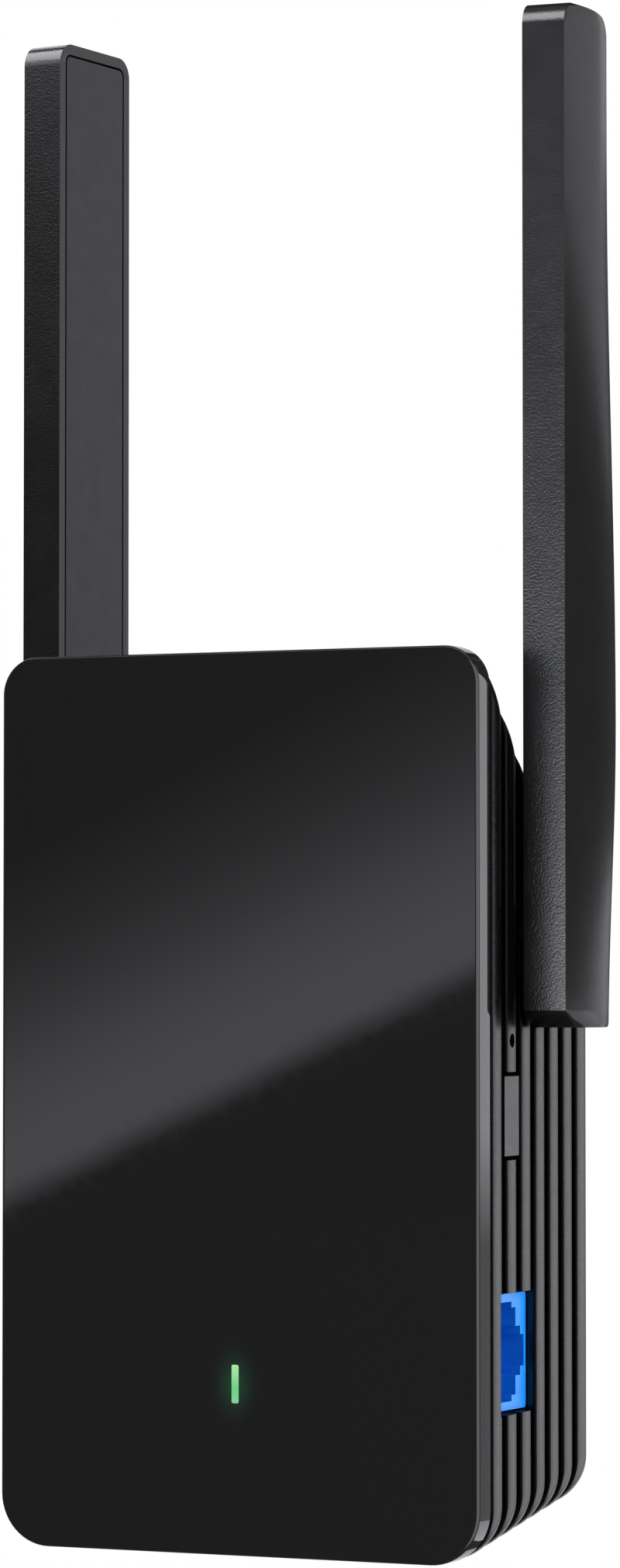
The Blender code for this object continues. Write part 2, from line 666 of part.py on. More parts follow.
def chamfer(from_foot):
    """How far the front has drawn in where the foot is cut away, at a distance from the foot's end."""
    deep, tall = FOOT_CHAMFER
    return deep * (1 - from_foot / tall) ** 1.35 if from_foot < tall else 0.0


def swell(height):
    """The outer face stands out most just above the hinge and fades both ways."""
    reach = SWELL_REACH[0] if height < SWELL_HEIGHT else SWELL_REACH[1]
    part = (height - SWELL_HEIGHT) / reach
    return ANTENNA_SWELL * math.cos(part * math.pi / 2) ** 2 if part < 1.0 else 0.0


def antenna_ring(side, height):
    """The section at one height: a flat inner face, a flat front and a crowned outer face."""
    from_top, from_foot = ANTENNA_TOP - height, height - ANTENNA_BOTTOM
    front = ANTENNA_FRONT + max(quarter(from_top, TOP_FRONT_CORNER), chamfer(from_foot))
    back = ANTENNA_BACK - max(quarter(from_top, TOP_BACK_CORNER), quarter(from_foot, FOOT_BACK_CORNER))
    end = back - BACK_CORNER
    section = [(ANTENNA_INNER, front), (ANTENNA_EDGE, front)]
    rise = ANTENNA_RISE + swell(height)
    for step in range(1, 6):
        t = step / 5
        bow = 2 * ANTENNA_CROWN * t * (1 - t) + rise * math.sin(t * math.pi / 2)
        section.append((ANTENNA_EDGE + bow, front + (end - front) * t))
    outer = section[-1][0]
    for step in range(1, 5):
        angle = step / 4 * math.pi / 2
        out = outer - BACK_CORNER * (1 - math.cos(angle))
        section.append((out, end + BACK_CORNER * math.sin(angle)))
    section.append((ANTENNA_INNER, back))
    return [(side * out, along, height) for out, along in section]


def antenna_heights():
    """More sections where the ends are rounded, fewer along the straight middle."""
    foot = [ANTENNA_BOTTOM + drop for drop in (0.0, 0.25, 0.8, 1.6, 2.2)]
    top = [ANTENNA_TOP - drop for drop in (2.6, 1.5, 0.7, 0.2, 0.0)]
    steps = 14
    between = [foot[-1] + (top[0] - foot[-1]) * i / steps for i in range(1, steps)]
    return foot + between + top


def make_antenna(name, side):
    where, turn = on_wall(side, HINGE_DEPTH, HINGE_HEIGHT)
    hinge = bpy.data.objects.new(f"antenna_{name}_hinge", None)
    hinge.matrix_world = Matrix.Translation(where) @ turn
    parts.objects.link(hinge)
    bpy.context.view_layer.update()

    shell = add(
        f"antenna_{name}_shell",
        loft([antenna_ring(side, height) for height in antenna_heights()]),
        GRAINED_BLACK,
        parent=hinge,
    )
    tall = ANTENNA_TOP - ANTENNA_BOTTOM
    wide = ANTENNA_BACK - ANTENNA_FRONT
    middle = ((ANTENNA_BACK + ANTENNA_FRONT) / 2, (ANTENNA_TOP + ANTENNA_BOTTOM) / 2)
    recess_depth = PANEL_THICKNESS + GAP
    recess = block(
        (2 * recess_depth, wide - 2 * (PANEL_MARGIN - GAP), tall - 2 * (PANEL_MARGIN - GAP)),
        (side * ANTENNA_INNER, *middle),
        rounding=1.2,
        along=0,
    )
    cut(shell, add(f"panel_recess_{name}", recess, None, parent=hinge))
    hollow_out = CAVITY_OUTER - ANTENNA_INNER
    hollow = block(
        (hollow_out, wide - 6.0, tall - 8.0),
        (side * (ANTENNA_INNER + hollow_out / 2), *middle),
        rounding=1.0,
        along=0,
    )
    cut(shell, add(f"antenna_hollow_{name}", hollow, None, parent=hinge))

    panel = block(
        (PANEL_THICKNESS, wide - 2 * PANEL_MARGIN, tall - 2 * PANEL_MARGIN),
        (side * (ANTENNA_INNER + PANEL_THICKNESS / 2), *middle),
        rounding=0.9,
        along=0,
    )
    panel = add(f"antenna_{name}_panel", panel, PANEL_BLACK, parent=hinge)
    eye = rod(FLANGE_RADIUS + GAP, -8.0, 8.0, "X", sides=24)
    cut(panel, add(f"panel_eye_{name}", eye, None, parent=hinge))

    low, high = 10.0, ANTENNA_TOP - 8.0
    radiator = block((0.8, 9.0, high - low), (side * 3.4, middle[0], (low + high) / 2))
    add(f"antenna_{name}_radiator", radiator, BOARD_GREEN, parent=hinge)
    make_hinge_pieces(name, side, hinge)


def make_hinge_pieces(name, side, hinge):
    """The hollow hinge post, the spring washer and clip that hold it, and the cable through it."""
    out = Matrix.Rotation(side * math.pi / 2, 4, "Y")
    profile = [(FLANGE_RADIUS, 2.2), (FLANGE_RADIUS, GAP), (POST_RADIUS, GAP), (POST_RADIUS, -4.6)]
    profile += [(2.7, -4.6), (2.7, -5.6), (POST_RADIUS, -5.6), (POST_RADIUS, POST_END)]
    profile += [(POST_BORE, POST_END), (POST_BORE, 2.2)]
    turned(f"antenna_{name}_pivot", profile, PLUG_BLACK, None, out, hinge)

    clip = [(5.2, -4.8), (5.2, -5.4), (2.95, -5.4), (2.95, -4.8)]
    clip = turned(f"antenna_{name}_clip", clip, STEEL, None, out, hinge)
    mouth = block((2.0, 4.0, 8.0), (-side * 5.1, 0, -4.5))
    cut(clip, add(f"clip_mouth_{name}", mouth, None, parent=hinge))

    where, turn = on_wall(side, HINGE_DEPTH, HINGE_HEIGHT)
    washer = [(5.8, -3.5), (5.8, -4.2), (3.7, -4.2), (3.7, -3.5)]
    turned(f"hinge_washer_{name}", washer, STEEL, where, turn @ out)

    straight = [(side * (POST_END + 0.2 + 2.4 * i), 0, 0) for i in range(5)]
    bend = bezier([(side * 2.3, 0, 0), (side * 4.3, 0, 0), (side * 4.3, 0, 1.5), (side * 4.3, 0, 4.0)], 8)
    tail = [(side * 4.3, 0, 6.0), (side * 4.3, 0, 9.6)]
    points = [Vector(point) * MM for point in [*straight, *bend, *tail]]
    cable(f"antenna_{name}_cable", points, 0.65, CABLE_GREY, hinge)

    start = where + turn @ Vector((side * (POST_END - GAP) * MM, 0, 0))
    bend = where + turn @ Vector((side * (POST_END - 7.0) * MM, 0, 0))
    ends = [start, bend, at(side * 12.0, 21.0, 84.0), at(side * 12.0, ON_BOARD + 1.7, 84.0)]
    cable(f"coax_lead_{name}", bezier(ends, 14), 0.65, CABLE_GREY)
    plug = rod(1.5, ON_BOARD, ON_BOARD + 1.4, sides=16)
    add(f"coax_plug_{name}", plug, GOLD, at(side * 12.0, 0, 84.0), smooth=True)


make_front_cover()
make_light()
make_mid_frame()
make_screws()
make_rear_housing()
make_main_board()
make_processor()
make_jack()
make_buttons()
make_power_board()
make_plug()
make_antenna("left", -1)
make_antenna("right", 1)
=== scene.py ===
"""The looks of a wall-plug wifi range extender with two folding antennas, built round its CAD frame.

The scene is in metres: X to the right seen from the front, Y into the wall and Z up, with the origin in the
middle of the face that meets the wall outlet. The object's named sizes are in millimetres, and a place on its
body is given as x from the middle, depth behind the cover's face and height above the cover's lower edge.
"""

import json
import math

import bmesh
import bpy
from mathutils import Matrix, Vector

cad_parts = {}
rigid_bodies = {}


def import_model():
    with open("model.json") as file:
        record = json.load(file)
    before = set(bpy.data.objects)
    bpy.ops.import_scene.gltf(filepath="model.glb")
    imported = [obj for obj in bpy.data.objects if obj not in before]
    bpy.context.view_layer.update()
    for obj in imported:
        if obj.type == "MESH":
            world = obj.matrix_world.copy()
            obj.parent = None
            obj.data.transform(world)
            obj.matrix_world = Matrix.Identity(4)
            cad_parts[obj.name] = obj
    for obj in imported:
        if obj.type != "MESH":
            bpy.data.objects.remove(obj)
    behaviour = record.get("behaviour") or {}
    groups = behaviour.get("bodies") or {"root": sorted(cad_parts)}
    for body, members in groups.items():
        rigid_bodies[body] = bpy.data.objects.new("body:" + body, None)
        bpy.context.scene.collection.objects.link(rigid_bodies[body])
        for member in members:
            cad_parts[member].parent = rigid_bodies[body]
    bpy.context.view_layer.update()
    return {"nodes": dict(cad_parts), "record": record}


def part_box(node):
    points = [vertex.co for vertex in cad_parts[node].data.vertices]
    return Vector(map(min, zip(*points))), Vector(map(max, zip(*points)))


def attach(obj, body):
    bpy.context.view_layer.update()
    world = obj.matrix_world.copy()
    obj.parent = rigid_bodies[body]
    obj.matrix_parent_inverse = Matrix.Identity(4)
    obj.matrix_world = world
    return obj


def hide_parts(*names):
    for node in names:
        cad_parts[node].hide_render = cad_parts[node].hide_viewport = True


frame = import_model()

MM = 0.001
nodes = frame["nodes"]

# The body's driving sizes, in millimetres, read from the CAD nodes.
cover_low, cover_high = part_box("front_cover")
housing_low, housing_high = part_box("rear_housing")
WIDTH = (cover_high.x - cover_low.x) / MM
HEIGHT = (cover_high.z - cover_low.z) / MM
COVER_DEPTH = (cover_high.y - cover_low.y) / MM
FIRST_RIB = (housing_low.y - cover_low.y) / MM
BODY_DEPTH = (housing_high.y - cover_low.y) / MM

# The cover and the outline. Corner radii are (upper, lower).
GAP = 0.3
COVER_CORNERS = (4.8, 6.7)
HOUSING_CORNERS = (5.9, 6.3)
CORNER_STEPS = 14
COVER_WALL = 1.8
COVER_BEVEL = 0.45
COVER_BEVEL_STEPS = 5
BACK_BEVEL = 0.25
BACK_BEVEL_STEPS = 3
LIGHT_HEIGHT = 21.6
LIGHT_SLIT = (1.04, 4.84)
LIGHT_SLIT_CORNER = 0.25

# The ribbed housing, which narrows towards the wall.
SIDE_DRAFT = 0.08
DRAFT_ANGLE = math.atan(SIDE_DRAFT)
TOP_SLOPE = 0.874
UNDER_SLOPE = 0.108
RIBS = 7
RIB_WIDTH = 3.9
RIB_PITCH = 5.7
RIB_EDGE = 0.35
RIB_EDGE_STEPS = 3
RIB_CROWN = 0.2
GROOVE = 1.6
HOUSING_WALL = 3.2
REAR_WALL = 2.0
VENT_SIZE = (30.0, 1.0, 16.0)
BOSS_PLACES = [(side * 24.0, height) for height in (11.0, 100.0) for side in (-1, 1)]
BOSS_RADIUS = 3.0
PILOT_RADIUS = 1.1
BOSS_PILOT_DEPTH = 12.6
PLUG_HEIGHT = 42.0
PLUG_SIZE = (34.0, 24.0)
PLUG_CORNER = 2.0
PLUG_SCREW_X = 20.5

# The openings in the side walls. A cut reaches this far each way from the wall's face.
WINDOW_CUT = 7.0
HINGE_CUT = 8.0
JACK_WINDOW_DEPTHS = (8.7, 22.8)
JACK_WINDOW_HEIGHTS = (17.9, 33.15)
BUTTON_DEPTH = 13.2
WPS_HEIGHT = 55.4
WPS_WINDOW = (5.9, 11.1)
RESET_HEIGHT = 64.9
RESET_HOLE_RADIUS = 0.9
HINGE_DEPTH = 23.7
HINGE_HEIGHT = 76.0
HINGE_PAD_RADIUS = 8.0
HINGE_PAD_SPAN = (2.4, 0.02)
HINGE_HOLE_RADIUS = 3.55

# The antennas, in the frame of their hinge: out of the wall, along it towards the back, and up.
ANTENNA_TOP = 121.0
ANTENNA_BOTTOM = -9.5
ANTENNA_FRONT = -8.8
ANTENNA_BACK = 8.65
ANTENNA_INNER = 0.9
ANTENNA_EDGE = 6.5
ANTENNA_CROWN = 0.75
ANTENNA_RISE = 0.84
ANTENNA_SWELL = 1.06
SWELL_HEIGHT = 30.0
SWELL_REACH = (-42.0, 72.0)
FACE_STEPS = 14
BACK_CORNER = 2.5
BACK_CORNER_STEPS = 9
TOP_FRONT_CORNER = 3.0
TOP_BACK_CORNER = 2.6
TOP_STEPS = 12
MIDDLE_STEPS = 48
FOOT_CHAMFER = (4.5, 2.2)
CHAMFER_BEND = 1.35
FOOT_BACK_CORNER = 0.8
FOOT_SECTIONS = (0.0, 0.08, 0.25, 0.5, 0.8, 1.2, 1.6, 1.9, 2.2)
PANEL_MARGIN = 1.7
PANEL_THICKNESS = 1.2
PANEL_CORNER = 1.2
CAVITY_OUTER = 5.3
CAVITY_MARGINS = (6.0, 8.0)
CAVITY_CORNER = 1.0
SHELL_EDGE = 0.22
SHELL_EDGE_ANGLE = 34.0

# ---------------------------------------------------------------- camera

CAMERA_AZIMUTH = 25.24
CAMERA_ELEVATION = -2.227
CAMERA_DISTANCE = 0.68
CAMERA_AIM = Vector((0.0069, -0.0374, 0.0555))
CAMERA_LENS = 122.52


def direction(azimuth, elevation):
    """A unit vector. Azimuth 0 is straight in front and 90 to the right, both angles in degrees."""
    azimuth, elevation = math.radians(azimuth), math.radians(elevation)
    level = math.cos(elevation)
    return Vector((math.sin(azimuth) * level, -math.cos(azimuth) * level, math.sin(elevation)))


def make_camera():
    """Looks through a long lens from the front right, and slightly from below."""
    back = direction(CAMERA_AZIMUTH, CAMERA_ELEVATION)
    data = bpy.data.cameras.new("camera")
    data.lens = CAMERA_LENS
    data.sensor_width = 36.0
    data.clip_end = 100.0
    camera = bpy.data.objects.new("camera", data)
    camera.rotation_mode = "QUATERNION"
    camera.rotation_quaternion = (-back).to_track_quat("-Z", "Y")
    camera.location = CAMERA_AIM + back * CAMERA_DISTANCE
    bpy.context.scene.collection.objects.link(camera)
    bpy.context.scene.camera = camera


# ---------------------------------------------------------------- stage

# The floor lies low, so that the soft light from below reaches the object.
FLOOR_RADIUS = 40.0
FLOOR_DROP = 1.6
FLOOR_GREY = 0.4

# The dim surround, and its two soft glows: where each starts, where it is full, and how bright.
AMBIENT = 0.022
SIDE_GLOW = (0.8, 0.97, 0.5)
CEILING_GLOW = (0.85, 0.97, 0.3)


def shader_tree(owner):
    owner.use_nodes = True
    owner.node_tree.nodes.clear()
    return owner.node_tree


def split_camera_rays(tree, output, felt, seen):
    """The camera sees one shader, seen, and every other ray meets the other one, felt."""
    path = tree.nodes.new("ShaderNodeLightPath")
    mix = tree.nodes.new("ShaderNodeMixShader")
    tree.links.new(path.outputs["Is Camera Ray"], mix.inputs["Fac"])
    tree.links.new(felt, mix.inputs[1])
    tree.links.new(seen, mix.inputs[2])
    tree.links.new(mix.outputs["Shader"], output.inputs["Surface"])


def make_stage():
    """A pale floor that runs into an equally pale surround."""
    mesh = bpy.data.meshes.new("floor")
    bm = bmesh.new()
    bmesh.ops.create_circle(bm, cap_ends=True, segments=64, radius=FLOOR_RADIUS)
    bm.to_mesh(mesh)
    bm.free()
    floor = bpy.data.objects.new("floor", mesh)
    floor.location.z = cover_low.z - FLOOR_DROP
    bpy.context.scene.collection.objects.link(floor)
    made = bpy.data.materials.new("floor")
    tree = shader_tree(made)
    output = tree.nodes.new("ShaderNodeOutputMaterial")
    glow = tree.nodes.new("ShaderNodeEmission")
    matt = tree.nodes.new("ShaderNodeBsdfDiffuse")
    matt.inputs["Color"].default_value = (FLOOR_GREY, FLOOR_GREY, FLOOR_GREY, 1.0)
    split_camera_rays(tree, output, matt.outputs["BSDF"], glow.outputs["Emission"])
    mesh.materials.append(made)


def make_world():
    """White to the camera. The surfaces meet a dim studio with soft side walls and a soft ceiling."""
    world = bpy.data.worlds.new("world")
    bpy.context.scene.world = world
    tree = shader_tree(world)
    output = tree.nodes.new("ShaderNodeOutputWorld")
    seen = tree.nodes.new("ShaderNodeBackground")
    felt = tree.nodes.new("ShaderNodeBackground")
    seen.inputs["Color"].default_value = (1.0, 1.0, 1.0, 1.0)
    split = tree.nodes.new("ShaderNodeSeparateXYZ")
    tree.links.new(tree.nodes.new("ShaderNodeTexCoord").outputs["Generated"], split.inputs["Vector"])
    sideways = tree.nodes.new("ShaderNodeMath")
    sideways.operation = "ABSOLUTE"
    tree.links.new(split.outputs["X"], sideways.inputs[0])
    both = tree.nodes.new("ShaderNodeMath")
    glows = ((sideways.outputs["Value"], *SIDE_GLOW), (split.outputs["Z"], *CEILING_GLOW))
    for slot, (value, start, full, glow) in enumerate(glows):
        ranged = tree.nodes.new("ShaderNodeMapRange")
        ranged.interpolation_type = "SMOOTHSTEP"
        ranged.inputs["From Min"].default_value = start
        ranged.inputs["From Max"].default_value = full
        ranged.inputs["To Min"].default_value = AMBIENT / 2
        ranged.inputs["To Max"].default_value = glow
        tree.links.new(value, ranged.inputs["Value"])
        tree.links.new(ranged.outputs["Result"], both.inputs[slot])
    tree.links.new(both.outputs["Value"], felt.inputs["Strength"])
    felt.inputs["Color"].default_value = (1.0, 1.0, 1.0, 1.0)
    split_camera_rays(tree, output, felt.outputs["Background"], seen.outputs["Background"])
    bpy.context.scene.view_settings.view_transform = "Standard"


def at(x, depth, height):
    """A place on the body, from millimetres to the frame's metres."""
    return Vector((x * MM, cover_low.y + depth * MM, cover_low.z + height * MM))


# ---------------------------------------------------------------- materials

# The status light: how far the green glow painted round it reaches in the gloss, in metres, and that painted
# glow's colours from its rim inwards, and the light's own colours from bottom to top. SCRATCH stretches a
# noise into long fine marks.
PAINTED_GLOW_REACH = (3.4 * MM, 1.0, 5.4 * MM)
PAINTED_GLOW_STOPS = ((0.0, (0.0, 0.0, 0.0)), (0.35, (0.001, 0.007, 0.004)), (0.8, (0.002, 0.034, 0.012)))
LIT = ((0.0, (0.25, 0.62, 0.34)), (0.4, (0.15, 0.62, 0.23)), (1.0, (0.45, 0.8, 0.38)))
SCRATCH = (900.0, 60.0, 900.0)


def make_ramp(tree_nodes, stops):
    """A colour ramp with (position, colour) stops, lowest first."""
    ramp = tree_nodes.new("ShaderNodeValToRGB")
    elements = ramp.color_ramp.elements
    while len(elements) < len(stops):
        elements.new(1.0)
    for element, (position, colour) in zip(elements, stops):
        element.position = position
        element.color = (*colour, 1.0)
    return ramp


class Surface:
    """A Principled material and the few procedural layers that most surfaces here share."""

    def __init__(self, name, colour, roughness, metallic=0.0, **sockets):
        self.material = bpy.data.materials.new(name)
        self.material.use_nodes = True
        self.nodes = self.material.node_tree.nodes
        self.links = self.material.node_tree.links
        self.shader = self.nodes["Principled BSDF"]
        self.shader.inputs["Base Color"].default_value = (*colour, 1.0)
        self.shader.inputs["Roughness"].default_value = roughness
        self.shader.inputs["Metallic"].default_value = metallic
        for socket, value in sockets.items():
            self.shader.inputs[socket.replace("_", " ")].default_value = value
        self.place = self.nodes.new("ShaderNodeTexCoord").outputs["Object"]
        self.height = None

    def noise(self, scale, detail, stretch=None):
        """A noise pattern; scale is in cells a metre, and stretch squeezes it along each axis."""
        noise = self.nodes.new("ShaderNodeTexNoise")
        noise.inputs["Scale"].default_value = scale
        noise.inputs["Detail"].default_value = detail
        source = self.place
        if stretch:
            mapping = self.nodes.new("ShaderNodeMapping")
            mapping.inputs["Scale"].default_value = stretch
            self.links.new(source, mapping.inputs["Vector"])
            source = mapping.outputs["Vector"]
        self.links.new(source, noise.inputs["Vector"])
        return noise.outputs["Fac"]

    def spread(self, value, low, high, from_low=0.3, from_high=0.7):
        """Takes a value from one range to another; most of a noise lies between 0.3 and 0.7."""
        ranged = self.nodes.new("ShaderNodeMapRange")
        ranged.inputs["From Min"].default_value = from_low
        ranged.inputs["From Max"].default_value = from_high
        ranged.inputs["To Min"].default_value = low
        ranged.inputs["To Max"].default_value = high
        self.links.new(value, ranged.inputs["Value"])
        return ranged.outputs["Result"]

    def vary_roughness(self, value, low, high):
        self.links.new(self.spread(value, low, high), self.shader.inputs["Roughness"])

    def link_ramp(self, value, stops, socket):
        """Colours a socket by a ramp of (position, colour) stops."""
        ramp = make_ramp(self.nodes, stops)
        self.links.new(value, ramp.inputs["Fac"])
        self.links.new(ramp.outputs["Color"], self.shader.inputs[socket])

    def vary_colour(self, value, dark, light):
        self.link_ramp(value, ((0.3, dark), (0.7, light)), "Base Color")

    def bump(self, value, strength, distance):
        bump = self.nodes.new("ShaderNodeBump")
        bump.inputs["Strength"].default_value = strength
        bump.inputs["Distance"].default_value = distance
        self.links.new(value, bump.inputs["Height"])
        if self.height:
            self.links.new(self.height, bump.inputs["Normal"])
        self.height = bump.outputs["Normal"]
        self.links.new(self.height, self.shader.inputs["Normal"])

    def paint_glow_round(self, centre, reach, stops):
        """A painted glow on the surface round centre, emission standing in for a light's haze, by stops from
        its rim to its middle.
        """
        mapping = self.nodes.new("ShaderNodeMapping")
        mapping.vector_type = "TEXTURE"
        mapping.inputs["Location"].default_value = centre
        mapping.inputs["Scale"].default_value = reach
        ball = self.nodes.new("ShaderNodeTexGradient")
        ball.gradient_type = "SPHERICAL"
        self.links.new(self.place, mapping.inputs["Vector"])
        self.links.new(mapping.outputs["Vector"], ball.inputs["Vector"])
        self.link_ramp(ball.outputs["Fac"], stops, "Emission Color")
        self.shader.inputs["Emission Strength"].default_value = 1.0


def polished_black():
    """Piano black, faintly wavy and uneven in gloss, with a green glow painted round the status light's slit
    as emission.
    """
    made = Surface("polished_black", (0.012, 0.012, 0.0125), 0.03, IOR=1.5)
    made.vary_roughness(made.noise(900.0, 5.0), 0.02, 0.045)
    made.bump(made.noise(70.0, 1.0), 0.02, 0.0002)
    # Painted glow: the status light's green haze is emission in the cover's own material, not light cast by
    # the light guide.
    made.paint_glow_round(at(0, 0, LIGHT_HEIGHT), PAINTED_GLOW_REACH, PAINTED_GLOW_STOPS)
    return made


def moulded_black(name, dark, light, roughness, grain, depth):
    """Black plastic with a fine moulded grain, a little uneven in gloss and tone."""
    made = Surface(name, light, roughness, IOR=1.5)
    made.vary_colour(made.noise(120.0, 4.0), dark, light)
    made.vary_roughness(made.noise(400.0, 5.0), roughness * 0.93, roughness * 1.09)
    made.bump(made.noise(grain, 2.0), depth, 0.00006)
    return made


def plated_metal(name, colour, roughness):
    """Metal with fine drawing marks along Y."""
    made = Surface(name, colour, roughness, 1.0)
    made.vary_roughness(made.noise(1.0, 4.0, SCRATCH), roughness - 0.08, roughness + 0.12)
    made.bump(made.noise(1.0, 3.0, SCRATCH), 0.06, 0.00005)
    return made


make_camera()
make_stage()
make_world()

GLOSS = polished_black()
RIBBED = moulded_black("ribbed_black", (0.006, 0.006, 0.0065), (0.009, 0.009, 0.0095), 0.28, 6500.0, 0.04)
GRAINED = moulded_black("grained_black", (0.008, 0.008, 0.0085), (0.013, 0.013, 0.0135), 0.2, 4000.0, 0.42)
SLEEK = moulded_black("sleek_black", (0.026, 0.026, 0.0265), (0.032, 0.032, 0.033), 0.17, 5200.0, 0.04)
PANEL = moulded_black("panel_black", (0.0275, 0.0275, 0.029), (0.0295, 0.0295, 0.031), 0.42, 4200.0, 0.25)
DARK = moulded_black("frame_black", (0.006, 0.006, 0.006), (0.009, 0.009, 0.009), 0.6, 3000.0, 0.4)
BACK = moulded_black("back_black", (0.016, 0.016, 0.0165), (0.021, 0.021, 0.022), 0.4, 3600.0, 0.3)
# Painted shade: a darker, duller black for the socket window's walls, standing in for the shade inside the
# opening.
PAINTED_SHADE_BLACK = moulded_black("window_black", (0.004, 0.004, 0.004), (0.006, 0.006, 0.006), 0.6, 3000.0, 0.3)
PAINTED_SHADE_BLACK.shader.inputs["Specular IOR Level"].default_value = 0.12
PLUG = moulded_black("plug_black", (0.014, 0.014, 0.0145), (0.02, 0.02, 0.0205), 0.44, 3600.0, 0.5)


def jack_blue():
    made = Surface("jack_blue", (0.016, 0.28, 1.0), 0.38, IOR=1.5)
    made.vary_colour(made.noise(300.0, 3.0), (0.004, 0.25, 0.88), (0.008, 0.31, 0.98))
    made.bump(made.noise(4200.0, 2.0), 0.3, 0.00005)
    return made


def lit_diffuser():
    """The light guide, palest at its top end."""
    made = Surface("light_green", (0.05, 0.2, 0.1), 0.4)
    to_local = nodes["light_guide"].matrix_world.inverted()
    low, high = ((to_local @ at(0, 0, LIGHT_HEIGHT + side * LIGHT_SLIT[1] / 2)).z for side in (-1, 1))
    split = made.nodes.new("ShaderNodeSeparateXYZ")
    made.links.new(made.place, split.inputs["Vector"])
    up = made.spread(split.outputs["Z"], 0.0, 1.0, low, high)
    made.link_ramp(up, LIT, "Emission Color")
    made.shader.inputs["Emission Strength"].default_value = 0.95
    return made


BLUE = jack_blue()
GREEN = lit_diffuser()
NICKEL = plated_metal("nickel_plate", (0.76, 0.75, 0.72), 0.24)
GOLD = plated_metal("gold_plate", (0.83, 0.62, 0.25), 0.25)
STEEL = plated_metal("zinc_steel", (0.58, 0.58, 0.6), 0.34)
ALUMINIUM = plated_metal("aluminium", (0.7, 0.71, 0.73), 0.4)
BOARD = moulded_black("solder_mask", (0.012, 0.085, 0.035), (0.02, 0.12, 0.05), 0.35, 1500.0, 0.3)
CHIP = moulded_black("chip_black", (0.015, 0.015, 0.016), (0.025, 0.025, 0.026), 0.5, 3000.0, 0.5)
PAD = moulded_black("pad_grey", (0.3, 0.32, 0.35), (0.38, 0.4, 0.43), 0.8, 2500.0, 0.5)
SLEEVE = moulded_black("capacitor_sleeve", (0.025, 0.03, 0.05), (0.035, 0.04, 0.07), 0.35, 900.0, 0.2)
TAPE = moulded_black("transformer_tape", (0.65, 0.46, 0.06), (0.78, 0.58, 0.1), 0.45, 900.0, 0.4)
CABLE = moulded_black("cable_grey", (0.1, 0.1, 0.11), (0.14, 0.14, 0.15), 0.5, 2500.0, 0.4)
WIRE = moulded_black("wire_red", (0.38, 0.015, 0.015), (0.5, 0.03, 0.03), 0.42, 2500.0, 0.3)
SWITCH = moulded_black("switch_white", (0.74, 0.74, 0.7), (0.84, 0.84, 0.81), 0.45, 2500.0, 0.3)

BY_SLOT = {
    "gloss_black": GLOSS,
    "satin_black": RIBBED,
    "grained_black": GRAINED,
    "panel_black": PANEL,
    "frame_black": DARK,
    "plug_black": PLUG,
    "light_green": GREEN,
    "jack_blue": BLUE,
    "gold_plate": GOLD,
    "nickel_plate": NICKEL,
    "zinc_steel": STEEL,
    "aluminium": ALUMINIUM,
    "board_green": BOARD,
    "chip_black": CHIP,
    "pad_grey": PAD,
    "capacitor_sleeve": SLEEVE,
    "transformer_tape": TAPE,
    "cable_grey": CABLE,
    "wire_red": WIRE,
    "switch_white": SWITCH,
}
for subpart in frame["record"]["subparts"]:
    node = nodes[subpart["node"]]
    node.data.materials.clear()
    node.data.materials.append(BY_SLOT[subpart["material_slot"]].material)


# ---------------------------------------------------------------- building


BODY = Matrix.Translation(at(0, 0, 0)) @ Matrix.Scale(MM, 4)
BLOCK_STEPS = 6
ROD_SIDES = 48


def wall_x(depth):
    return WIDTH / 2 - SIDE_DRAFT * depth


def on_wall(side, depth, height):
    """A side wall's frame, in millimetres: X out of the right wall or into the left one, Y to the back."""
    where = Matrix.Translation(at(side * wall_x(depth), depth, height))
    return where @ Matrix.Rotation(side * DRAFT_ANGLE, 4, "Z") @ Matrix.Scale(MM, 4)


def quarter_turn(steps):
    """Angles from zero to a right angle, in equal steps."""
    return [step / steps * math.pi / 2 for step in range(steps + 1)]


def loft(rings):
    """A closed solid through rings of equally many points, capped at both ends."""
    bm = bmesh.new()
    rows = [[bm.verts.new(point) for point in ring] for ring in rings]
    for row, following in zip(rows, rows[1:]):
        for i, vert in enumerate(row):
            j = (i + 1) % len(row)
            bm.faces.new((vert, row[j], following[j], following[i]))
    bm.faces.new(rows[0][::-1])
    bm.faces.new(rows[-1])
    return bm


def block(size, middle=(0, 0, 0), rounding=0.0, along=0):
    """A box; with rounding, its four edges along one axis are rounded."""
    bm = bmesh.new()
    bmesh.ops.create_cube(bm, size=1.0)
    bmesh.ops.scale(bm, vec=size, verts=bm.verts)
    if rounding:
        edges = []
        for edge in bm.edges:
            run = (edge.verts[0].co - edge.verts[1].co).normalized()
            if abs(run[along]) > 0.99:
                edges.append(edge)
        bmesh.ops.bevel(
            bm, geom=edges, offset=rounding, segments=BLOCK_STEPS, profile=0.5, affect="EDGES"
        )
    bmesh.ops.translate(bm, vec=middle, verts=bm.verts)
    return bm


def rod(radius, start, end, axis="Y", centre=(0, 0)):
    """A cylinder along X or Y from start to end; centre gives its other two coordinates, in order."""
    bm = bmesh.new()
    bmesh.ops.create_cone(
        bm, cap_ends=True, segments=ROD_SIDES, radius1=radius, radius2=radius, depth=end - start
    )
    middle = (start + end) / 2
    turn, where = {
        "X": (Matrix.Rotation(math.pi / 2, 4, "Y"), (middle, centre[0], centre[1])),
        "Y": (Matrix.Rotation(math.pi / 2, 4, "X"), (centre[0], middle, centre[1])),
    }[axis]
    bmesh.ops.transform(bm, matrix=Matrix.Translation(where) @ turn, verts=bm.verts)
    return bm


def make_mesh(name, bm, where):
    bmesh.ops.transform(bm, matrix=where, verts=bm.verts)
    bmesh.ops.recalc_face_normals(bm, faces=bm.faces)
    mesh = bpy.data.meshes.new(name)
    bm.to_mesh(mesh)
    bm.free()
    return mesh


def add(name, bm, surface, where=BODY):
    made = bpy.data.objects.new(name, make_mesh(name, bm, where))
    made.data.materials.append(surface.material)
    bpy.context.scene.collection.objects.link(made)
    return made


